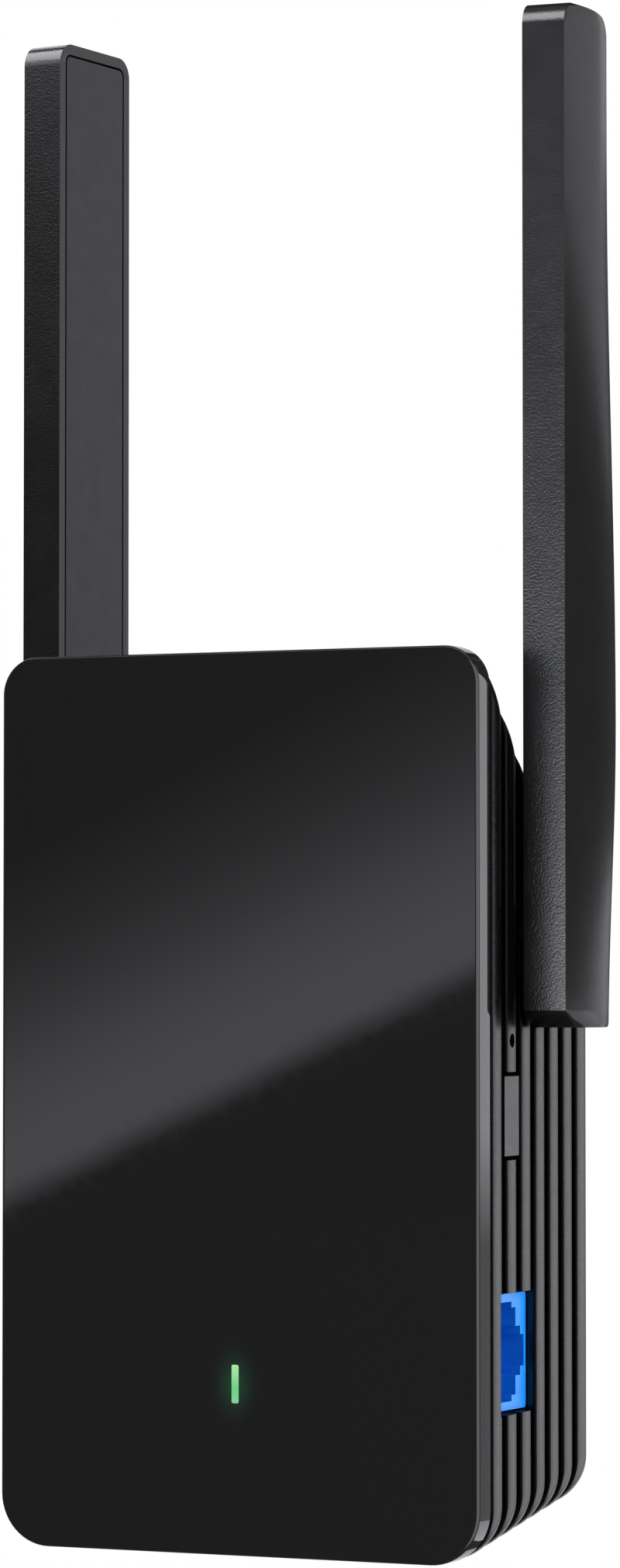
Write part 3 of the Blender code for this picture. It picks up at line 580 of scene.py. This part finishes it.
def settle(piece):
    """Replaces the piece's mesh by what its modifiers make of it."""
    graph = bpy.context.evaluated_depsgraph_get()
    mesh = bpy.data.meshes.new_from_object(piece.evaluated_get(graph))
    piece.modifiers.clear()
    piece.data = mesh


def carve(piece, cutters, operation="DIFFERENCE"):
    """Cuts shapes out of the piece, or adds them to it. Each is a (bmesh, place), clear of the others."""
    whole = bmesh.new()
    for bm, where in cutters:
        mesh = make_mesh("cutter", bm, where)
        whole.from_mesh(mesh)
        bpy.data.meshes.remove(mesh)
    cutter = bpy.data.objects.new("cutter", make_mesh("cutter", whole, Matrix()))
    bpy.context.scene.collection.objects.link(cutter)
    boolean = piece.modifiers.new("carve", "BOOLEAN")
    boolean.operation = operation
    boolean.object = cutter
    settle(piece)
    bpy.data.objects.remove(cutter)


def soften(thing, width, angle):
    """Rounds the edges sharper than angle."""
    bevel = thing.modifiers.new("soften", "BEVEL")
    bevel.width = width * MM
    bevel.segments = 2
    bevel.limit_method = "ANGLE"
    bevel.angle_limit = math.radians(angle)


def finish_piece(piece, body, replaced):
    """Smooths the shading, places the piece on its body and puts it in place of a CAD node."""
    piece.data.shade_smooth()
    piece.data.set_sharp_from_angle(angle=math.radians(40))
    weighted = piece.modifiers.new("weighted", "WEIGHTED_NORMAL")
    weighted.keep_sharp = True
    weighted.weight = 80
    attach(piece, body)
    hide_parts(replaced)


def soften_node(name, width):
    """Rounds the edges of a CAD node that keeps its shape."""
    node = nodes[name]
    merge = node.modifiers.new("merge_flat", "DECIMATE")
    merge.decimate_type = "DISSOLVE"
    merge.angle_limit = math.radians(0.5)
    soften(node, width, 30.0)
    weighted = node.modifiers.new("weighted", "WEIGHTED_NORMAL")
    weighted.keep_sharp = True


def rounded_ring(half_width, low, high, corners, depth):
    """A rounded rectangle in the plane of one depth, anticlockwise from its upper right corner."""
    ring = []
    upper, lower = corners
    arcs = (
        (half_width - upper, high - upper, upper, 0),
        (-half_width + upper, high - upper, upper, 1),
        (-half_width + lower, low + lower, lower, 2),
        (half_width - lower, low + lower, lower, 3),
    )
    for x, height, radius, quarter in arcs:
        for step in range(CORNER_STEPS + 1):
            angle = (quarter + step / CORNER_STEPS) * math.pi / 2
            ring.append((x + radius * math.cos(angle), depth, height + radius * math.sin(angle)))
    return ring


def cover_ring(depth, inset):
    corners = [max(radius - inset, 1.0) for radius in COVER_CORNERS]
    return rounded_ring(WIDTH / 2 - inset, inset, HEIGHT - inset, corners, depth)


def housing_ring(depth, inset):
    """The housing's outline at one depth, drawn in by inset at right angles to its walls."""
    back = depth - FIRST_RIB
    half_width = WIDTH / 2 - SIDE_DRAFT * depth - inset
    low = UNDER_SLOPE * back + inset
    high = HEIGHT - TOP_SLOPE * back - inset * math.hypot(1.0, TOP_SLOPE)
    corners = [max(radius - inset, 2.0) for radius in HOUSING_CORNERS]
    return rounded_ring(half_width, low, high, corners, depth)


# ---------------------------------------------------------------- front cover


def make_cover():
    """A tray with a rounded front edge, open at the back, and a slit for the light."""
    rings = []
    for angle in reversed(quarter_turn(COVER_BEVEL_STEPS)):
        drawn = COVER_BEVEL * (1 - math.cos(angle))
        rings.append(cover_ring(COVER_BEVEL * (1 - math.sin(angle)), drawn))
    for angle in quarter_turn(BACK_BEVEL_STEPS):
        drawn = BACK_BEVEL * (1 - math.cos(angle))
        rings.append(cover_ring(COVER_DEPTH - BACK_BEVEL * (1 - math.sin(angle)), drawn))
    rings.append(cover_ring(COVER_DEPTH, COVER_WALL))
    rings.append(cover_ring(COVER_WALL, COVER_WALL))
    cover = add("cover", loft(rings), GLOSS)
    width, height = LIGHT_SLIT
    slit = block((width, 4 * COVER_WALL, height), (0, 0, LIGHT_HEIGHT), LIGHT_SLIT_CORNER, along=1)
    carve(cover, [(slit, BODY)])
    finish_piece(cover, "base", "front_cover")


# ---------------------------------------------------------------- ribbed housing


def rib_profile(front, back):
    """(depth, inset) across one rib: rounded edges and a slightly crowned top."""
    middle, half = (front + back) / 2, (back - front) / 2
    profile = []
    for angle in quarter_turn(RIB_EDGE_STEPS):
        profile.append((front + RIB_EDGE * (1 - math.cos(angle)), RIB_EDGE * (1 - math.sin(angle))))
    for part in (-0.5, -0.25, 0.0, 0.25, 0.5):
        profile.append((middle + part * half, 0.0))
    for angle in reversed(quarter_turn(RIB_EDGE_STEPS)):
        profile.append((back - RIB_EDGE * (1 - math.cos(angle)), RIB_EDGE * (1 - math.sin(angle))))
    return [(depth, inset + RIB_CROWN * ((depth - middle) / half) ** 2) for depth, inset in profile]


def housing_block():
    """The solid outline of the ribs and of the grooves between them."""
    rings = []
    for i in range(RIBS):
        front = FIRST_RIB + i * RIB_PITCH
        back = front + RIB_WIDTH if i < RIBS - 1 else BODY_DEPTH
        if i:
            rings.append(housing_ring(front, GROOVE))
        rings += [housing_ring(depth, inset) for depth, inset in rib_profile(front, back)]
        if i < RIBS - 1:
            rings.append(housing_ring(back, GROOVE))
    return loft(rings)


def housing_cavity():
    """The hollow inside, with the four screw bosses left standing."""
    ends = (FIRST_RIB - 1.0, BODY_DEPTH - REAR_WALL)
    cavity = add("cavity", loft([housing_ring(depth, HOUSING_WALL) for depth in ends]), DARK)
    bosses = [rod(BOSS_RADIUS, FIRST_RIB - 1.5, BODY_DEPTH, centre=place) for place in BOSS_PLACES]
    carve(cavity, [(boss, BODY) for boss in bosses])
    hollow = bmesh.new()
    hollow.from_mesh(cavity.data)
    bpy.data.objects.remove(cavity)
    return hollow


def housing_cuts():
    """The pilot holes, the socket's window, the buttons' openings, the plug's seat and the vent slots."""
    cuts = []
    for place in BOSS_PLACES:
        cuts.append((rod(PILOT_RADIUS, FIRST_RIB - 1.0, BOSS_PILOT_DEPTH, centre=place), BODY))
    for side in (-1, 1):
        place = (side * PLUG_SCREW_X, PLUG_HEIGHT)
        pilot = rod(PILOT_RADIUS, BODY_DEPTH - REAR_WALL - 1.0, BODY_DEPTH - 0.5, centre=place)
        cuts.append((pilot, BODY))
    depths, heights = JACK_WINDOW_DEPTHS, JACK_WINDOW_HEIGHTS
    middle = (wall_x(sum(depths) / 2), sum(depths) / 2, sum(heights) / 2)
    window = block((2 * WINDOW_CUT, depths[1] - depths[0], heights[1] - heights[0]), middle)
    cuts.append((window, BODY))
    cuts.append((block((2 * WINDOW_CUT, *WPS_WINDOW)), on_wall(1, BUTTON_DEPTH, WPS_HEIGHT)))
    reset_hole = rod(RESET_HOLE_RADIUS, -WINDOW_CUT, WINDOW_CUT, "X")
    cuts.append((reset_hole, on_wall(1, BUTTON_DEPTH, RESET_HEIGHT)))
    width, height = (side + 2 * GAP for side in PLUG_SIZE)
    seat = block((width, 8.0, height), (0, BODY_DEPTH, PLUG_HEIGHT), PLUG_CORNER, along=1)
    cuts.append((seat, BODY))
    for i in range(RIBS - 1):
        depth = FIRST_RIB + i * RIB_PITCH + (RIB_PITCH + RIB_WIDTH) / 2
        back = depth - FIRST_RIB
        for height in (HEIGHT - TOP_SLOPE * back, UNDER_SLOPE * back):
            cuts.append((block(VENT_SIZE, (0, depth, height)), BODY))
    return cuts


def paint_housing(housing):
    """The flat back is a little paler, and the socket window's walls get the deepest, least glossy black as
    painted shade for the opening.
    """
    for surface in (BACK, PAINTED_SHADE_BLACK):
        housing.data.materials.append(surface.material)
    deep = len(housing.data.materials) - 1
    low = at(wall_x(0) - 8, JACK_WINDOW_DEPTHS[0], JACK_WINDOW_HEIGHTS[0])
    high = at(wall_x(0) + 1, JACK_WINDOW_DEPTHS[1], JACK_WINDOW_HEIGHTS[1])
    slack = 0.05 * MM
    for face in housing.data.polygons:
        inside = all(low[i] - slack < face.center[i] < high[i] + slack for i in range(3))
        # The socket window's walls take the painted shade.
        if inside and face.normal.x < 0.5:
            face.material_index = deep
        elif face.normal.y > 0.7 and face.center.y > housing_high.y - 0.6 * MM:
            face.material_index = deep - 1


def make_housing():
    """One shell from the cover to the wall, with a round pad on each side for the antenna's hinge."""
    housing = add("housing", housing_block(), RIBBED)
    pads, holes = [], []
    for side in (-1, 1):
        hinge = on_wall(side, HINGE_DEPTH, HINGE_HEIGHT)
        ends = sorted(-side * inwards for inwards in HINGE_PAD_SPAN)
        pads.append((rod(HINGE_PAD_RADIUS, *ends, "X"), hinge))
        holes.append((rod(HINGE_HOLE_RADIUS, -HINGE_CUT, HINGE_CUT, "X"), hinge))
    carve(housing, pads, "UNION")
    carve(housing, [(housing_cavity(), Matrix())])
    carve(housing, holes + housing_cuts())
    finish_piece(housing, "base", "rear_housing")
    paint_housing(housing)


# ---------------------------------------------------------------- antennas


def rounded(drop, radius):
    """How far a rounded corner has drawn in, at a distance of drop from the end of the antenna."""
    if drop >= radius:
        return 0.0
    return radius - math.sqrt(radius**2 - (radius - drop) ** 2)


def chamfer(from_foot):
    """How far the front has drawn in where the foot is cut away, at a distance from the foot's end."""
    deep, tall = FOOT_CHAMFER
    return deep * (1 - from_foot / tall) ** CHAMFER_BEND if from_foot < tall else 0.0


def swell(height):
    """The outer face stands out most just above the hinge and fades both ways."""
    reach = SWELL_REACH[0] if height < SWELL_HEIGHT else SWELL_REACH[1]
    part = (height - SWELL_HEIGHT) / reach
    return ANTENNA_SWELL * math.cos(part * math.pi / 2) ** 2 if part < 1.0 else 0.0


def antenna_ring(side, height):
    """The section at one height: a flat inner face, a flat front and a crowned outer face."""
    from_top, from_foot = ANTENNA_TOP - height, height - ANTENNA_BOTTOM
    front = ANTENNA_FRONT + max(rounded(from_top, TOP_FRONT_CORNER), chamfer(from_foot))
    back = ANTENNA_BACK - max(rounded(from_top, TOP_BACK_CORNER), rounded(from_foot, FOOT_BACK_CORNER))
    end = back - BACK_CORNER
    section = [(ANTENNA_INNER, front), (ANTENNA_EDGE, front)]
    rise = ANTENNA_RISE + swell(height)
    for step in range(1, FACE_STEPS + 1):
        t = step / FACE_STEPS
        bow = 2 * ANTENNA_CROWN * t * (1 - t) + rise * math.sin(t * math.pi / 2)
        section.append((ANTENNA_EDGE + bow, front + (end - front) * t))
    outer = section[-1][0]
    for angle in quarter_turn(BACK_CORNER_STEPS)[1:]:
        out = outer - BACK_CORNER * (1 - math.cos(angle))
        section.append((out, end + BACK_CORNER * math.sin(angle)))
    section.append((ANTENNA_INNER, back))
    return [(side * out, along, height) for out, along in section]


def antenna_heights():
    """More sections where the ends are rounded, fewer along the middle."""
    foot = [ANTENNA_BOTTOM + up for up in FOOT_SECTIONS]
    drops = [TOP_FRONT_CORNER * (1 - math.cos(angle)) for angle in reversed(quarter_turn(TOP_STEPS))]
    top = [ANTENNA_TOP - drop for drop in drops]
    span = top[0] - foot[-1]
    between = [foot[-1] + span * i / MIDDLE_STEPS for i in range(1, MIDDLE_STEPS)]
    return foot + between + top


def make_antenna(name, side):
    """A hollow shell, open inwards, where its flat panel closes it. Its outer face is the sleekest."""
    hinge = on_wall(side, HINGE_DEPTH, HINGE_HEIGHT)
    rings = [antenna_ring(side, height) for height in antenna_heights()]
    shell = add(f"antenna_{name}_body", loft(rings), GRAINED, hinge)
    tall = ANTENNA_TOP - ANTENNA_BOTTOM
    wide = ANTENNA_BACK - ANTENNA_FRONT
    middle = ((ANTENNA_BACK + ANTENNA_FRONT) / 2, (ANTENNA_TOP + ANTENNA_BOTTOM) / 2)
    rim = 2 * (PANEL_MARGIN - GAP)
    size = (2 * (PANEL_THICKNESS + GAP), wide - rim, tall - rim)
    recess = block(size, (side * ANTENNA_INNER, *middle), PANEL_CORNER)
    carve(shell, [(recess, hinge)])
    deep = CAVITY_OUTER - ANTENNA_INNER
    size = (deep, wide - CAVITY_MARGINS[0], tall - CAVITY_MARGINS[1])
    hollow = block(size, (side * (ANTENNA_INNER + deep / 2), *middle), CAVITY_CORNER)
    carve(shell, [(hollow, hinge)])
    soften(shell, SHELL_EDGE, SHELL_EDGE_ANGLE)
    settle(shell)
    finish_piece(shell, f"antenna_{name}", f"antenna_{name}_shell")
    shell.data.materials.append(SLEEK.material)
    outwards = hinge.to_3x3().col[0].normalized() * side
    for face in shell.data.polygons:
        if face.normal.dot(outwards) > 0.3:
            face.material_index = 1
    soften_node(f"antenna_{name}_panel", 0.12)


# ---------------------------------------------------------------- light

MIDDLE = Vector((0.0, -0.02, 0.05))
CARD_REACH = 1.5
CARD_TINT = (0.985, 0.985, 1.04)


def towards(start, azimuth, elevation):
    """The place that lies in a direction from start, as far off as the lights stand."""
    return Vector(start) + direction(azimuth, elevation) * CARD_REACH


def make_card(name, corners, radiance, lit, fade=None):
    """A glowing card that only the pieces in lit reflect. A fade lists (way across, share of the glow), from
    the edge between its first two corners to the edge between its last two."""
    mesh = bpy.data.meshes.new(name)
    mesh.from_pydata([tuple(corner) for corner in corners], [], [(0, 1, 2, 3)])
    layer = mesh.uv_layers.new(name="UVMap")
    for loop, place in zip(layer.data, ((0, 0), (1, 0), (1, 1), (0, 1))):
        loop.uv = place
    card = bpy.data.objects.new(name, mesh)
    bpy.context.scene.collection.objects.link(card)
    made = bpy.data.materials.new(name)
    tree = shader_tree(made)
    output = tree.nodes.new("ShaderNodeOutputMaterial")
    both = tree.nodes.new("ShaderNodeAddShader")
    clear = tree.nodes.new("ShaderNodeBsdfTransparent")
    glow = tree.nodes.new("ShaderNodeEmission")
    glow.inputs["Strength"].default_value = radiance
    glow.inputs["Color"].default_value = (*CARD_TINT, 1.0)
    tree.links.new(clear.outputs["BSDF"], both.inputs[0])
    tree.links.new(glow.outputs["Emission"], both.inputs[1])
    tree.links.new(both.outputs["Shader"], output.inputs["Surface"])
    if fade:
        stops = [(way, tuple(share * part for part in CARD_TINT)) for way, share in fade]
        place = tree.nodes.new("ShaderNodeTexCoord")
        split = tree.nodes.new("ShaderNodeSeparateXYZ")
        ramp = make_ramp(tree.nodes, stops)
        tree.links.new(place.outputs["UV"], split.inputs["Vector"])
        tree.links.new(split.outputs["Y"], ramp.inputs["Fac"])
        tree.links.new(ramp.outputs["Color"], glow.inputs["Color"])
    mesh.materials.append(made)
    card.visible_camera = False
    card.visible_shadow = False
    card.light_linking.receiver_collection = lit


def make_screen(name, start, azimuths, elevations, radiance, lit, fade=None):
    """A card that fills a window of directions as seen from start. Its fade runs upwards."""
    (left, right), (low, high) = azimuths, elevations
    ways = ((left, low), (right, low), (right, high), (left, high))
    make_card(name, [towards(start, *way) for way in ways], radiance, lit, fade)


def make_soft_light(name, azimuth, elevation, size, power):
    """A square lamp that lights everything and is mirrored by nothing."""
    data = bpy.data.lights.new(name, "AREA")
    data.size = size
    data.energy = power
    light = bpy.data.objects.new(name, data)
    light.location = towards(MIDDLE, azimuth, elevation)
    light.rotation_mode = "QUATERNION"
    light.rotation_quaternion = (MIDDLE - light.location).to_track_quat("-Z", "Y")
    light.visible_camera = False
    light.visible_glossy = False
    bpy.context.scene.collection.objects.link(light)


def lit_group(name, words):
    """The pieces whose names begin with one of the words."""
    group = bpy.data.collections.new(name)
    for thing in list(bpy.context.scene.objects):
        if thing.type in ("MESH", "CURVE") and thing.name.startswith(words):
            group.objects.link(thing)
    return group


def light_cover():
    """The face mirrors a panel with a slanting lower edge, which fades out upwards, and the rims mirror five
    more cards."""
    cover = lit_group("lit_cover", ("cover",))
    low_left, low_right = Vector((-0.663, -1.045, -0.0867)), Vector((-0.314, -1.045, 0.0700))
    rise = Vector((0, 0, 0.122))
    fade = ((0, 0), (0.085, 1), (0.2, 0.97), (0.36, 0.76), (0.53, 0.43), (0.7, 0.2), (0.85, 0.09), (1, 0))
    corners = (low_left, low_right, low_right + rise, low_left + rise)
    make_card("slanted_panel", corners, 1.25, cover, fade)
    edge = (0.0335, -0.043, 0.0046)
    fade = ((0, 0.25), (0.262, 0.25), (0.3, 1), (1, 1))
    make_screen("cover_side", edge, (172, 140), (-14, 30), 1.5, cover, fade)
    make_screen("cover_corner", edge, (176, 155), (-25, -14), 1.3, cover)
    make_screen("cover_bevel", edge, (105, 12), (-40, 35), 2.2, cover)
    make_screen("cover_top", MIDDLE, (80, -60), (35, 80), 2.0, cover)
    make_screen("cover_rim", MIDDLE, (-120, -171), (8, 50), 0.8, cover)


def light_body():
    """The ribs mirror a card that fades out towards straight behind, and the socket has one of its own."""
    body = lit_group("lit_body", ("housing", "wps_button", "mid_frame", "rj45", "reset"))
    ribs = (0.032, -0.025, 0.0)
    corners = [towards(ribs, *way) for way in ((188, -24), (188, 6), (138, 6), (138, -24))]
    fade = ((0, 0.12), (0.14, 0.17), (0.26, 0.38), (0.37, 0.6), (0.48, 0.82), (0.6, 0.88), (1, 1))
    make_card("ribs_low", corners, 1.4, body, fade)
    socket = lit_group("lit_socket", ("rj45",))
    make_screen("socket", (0.03, -0.03, -0.016), (135, 55), (-25, 35), 2.3, socket)


def light_left_antenna():
    left = lit_group("lit_left", ("antenna_left",))
    hand = (-0.033, -0.02, 0.1)
    make_screen("left_inner", hand, (170, 110), (-12, 35), 0.85, left)
    make_screen("left_top", hand, (-20, -100), (28, 62), 7.0, left)
    make_screen("left_narrow", (-0.036, -0.03, 0.15), (-20, -55), (12, 28), 2.3, left)
    make_screen("left_rim", hand, (-130, -165), (22, 50), 1.6, left)


def light_right_antenna():
    """Two cards draw the bright sweeps along the outer face, and four more light its top, rim and front."""
    right = lit_group("lit_right", ("antenna_right",))
    tall = Vector((0, 0, 0.5))
    run_on = 0.4

    # The lower sweep is the glow under the upper edge of this card.
    rear = towards((0.040, -0.015, 0.055), 166, 1.1) - Vector((0, 0, 0.052))
    front = towards((0.0385, -0.031, 0.0327), 133, -1.5) - Vector((0, 0, 0.028))
    reach = (front - rear) * run_on
    back_end, front_end = rear - reach, front + reach
    make_card("crescent", (back_end - tall, front_end - tall, front_end, back_end), 0.63, right)

    # The upper sweep is the glow above the lower edge of this one, and it fades towards the back.
    rear = towards((0.040, -0.015, 0.0968), 166, 6.5)
    front = towards((0.0385, -0.031, 0.1286), 133, 8.8)
    reach = (front - rear) * run_on
    back_end, front_end = rear + Vector((0, 0, 0.02)) - reach * 0.9, front + reach
    fade = ((0, 0.45), (0.2, 0.58), (0.375, 0.8), (0.48, 1), (1, 1))
    corners = (back_end, back_end + tall, front_end + tall, front_end)
    make_card("right_upper", corners, 0.56, right, fade)

    tip = (0.039, -0.013, 0.14)
    make_screen("right_rear", tip, (200, 172), (8.5, 30), 0.45, right)
    make_screen("right_between", tip, (178, 120), (-12, 12), 0.07, right)
    make_screen("right_top", tip, (12, -50), (27, 62), 8.0, right)
    make_screen("right_narrow", (0.036, -0.03, 0.05), (4, -32), (-50, 1), 6.4, right)
    return right


def make_lights():
    light_cover()
    light_body()
    light_left_antenna()
    right = light_right_antenna()
    every = lit_group("lit_all", ("",))
    make_screen("back_low", MIDDLE, (184, 262), (-45, -7), 0.8, every)
    plug = lit_group("lit_plug", ("blade", "plug"))
    make_screen("plug_back", MIDDLE, (240, 120), (5, 60), 1.6, plug)
    make_screen("right_foot", (0.036, -0.03, 0.025), (-2, -60), (-60, -20), 8.0, right)
    make_soft_light("fill_front", -10, 25, 1.2, 5.0)
    make_soft_light("fill_right", 85, 40, 0.8, 2.0)
    make_soft_light("back_left", -125, 30, 1.0, 8.0)


make_cover()
make_housing()
make_antenna("left", -1)
make_antenna("right", 1)
SOFTENED = {"wps_button": 0.15, "rj45_jack": 0.12, "plug_base": 0.4, "mid_frame": 0.15}
for name, width in SOFTENED.items():
    soften_node(name, width)
make_lights()
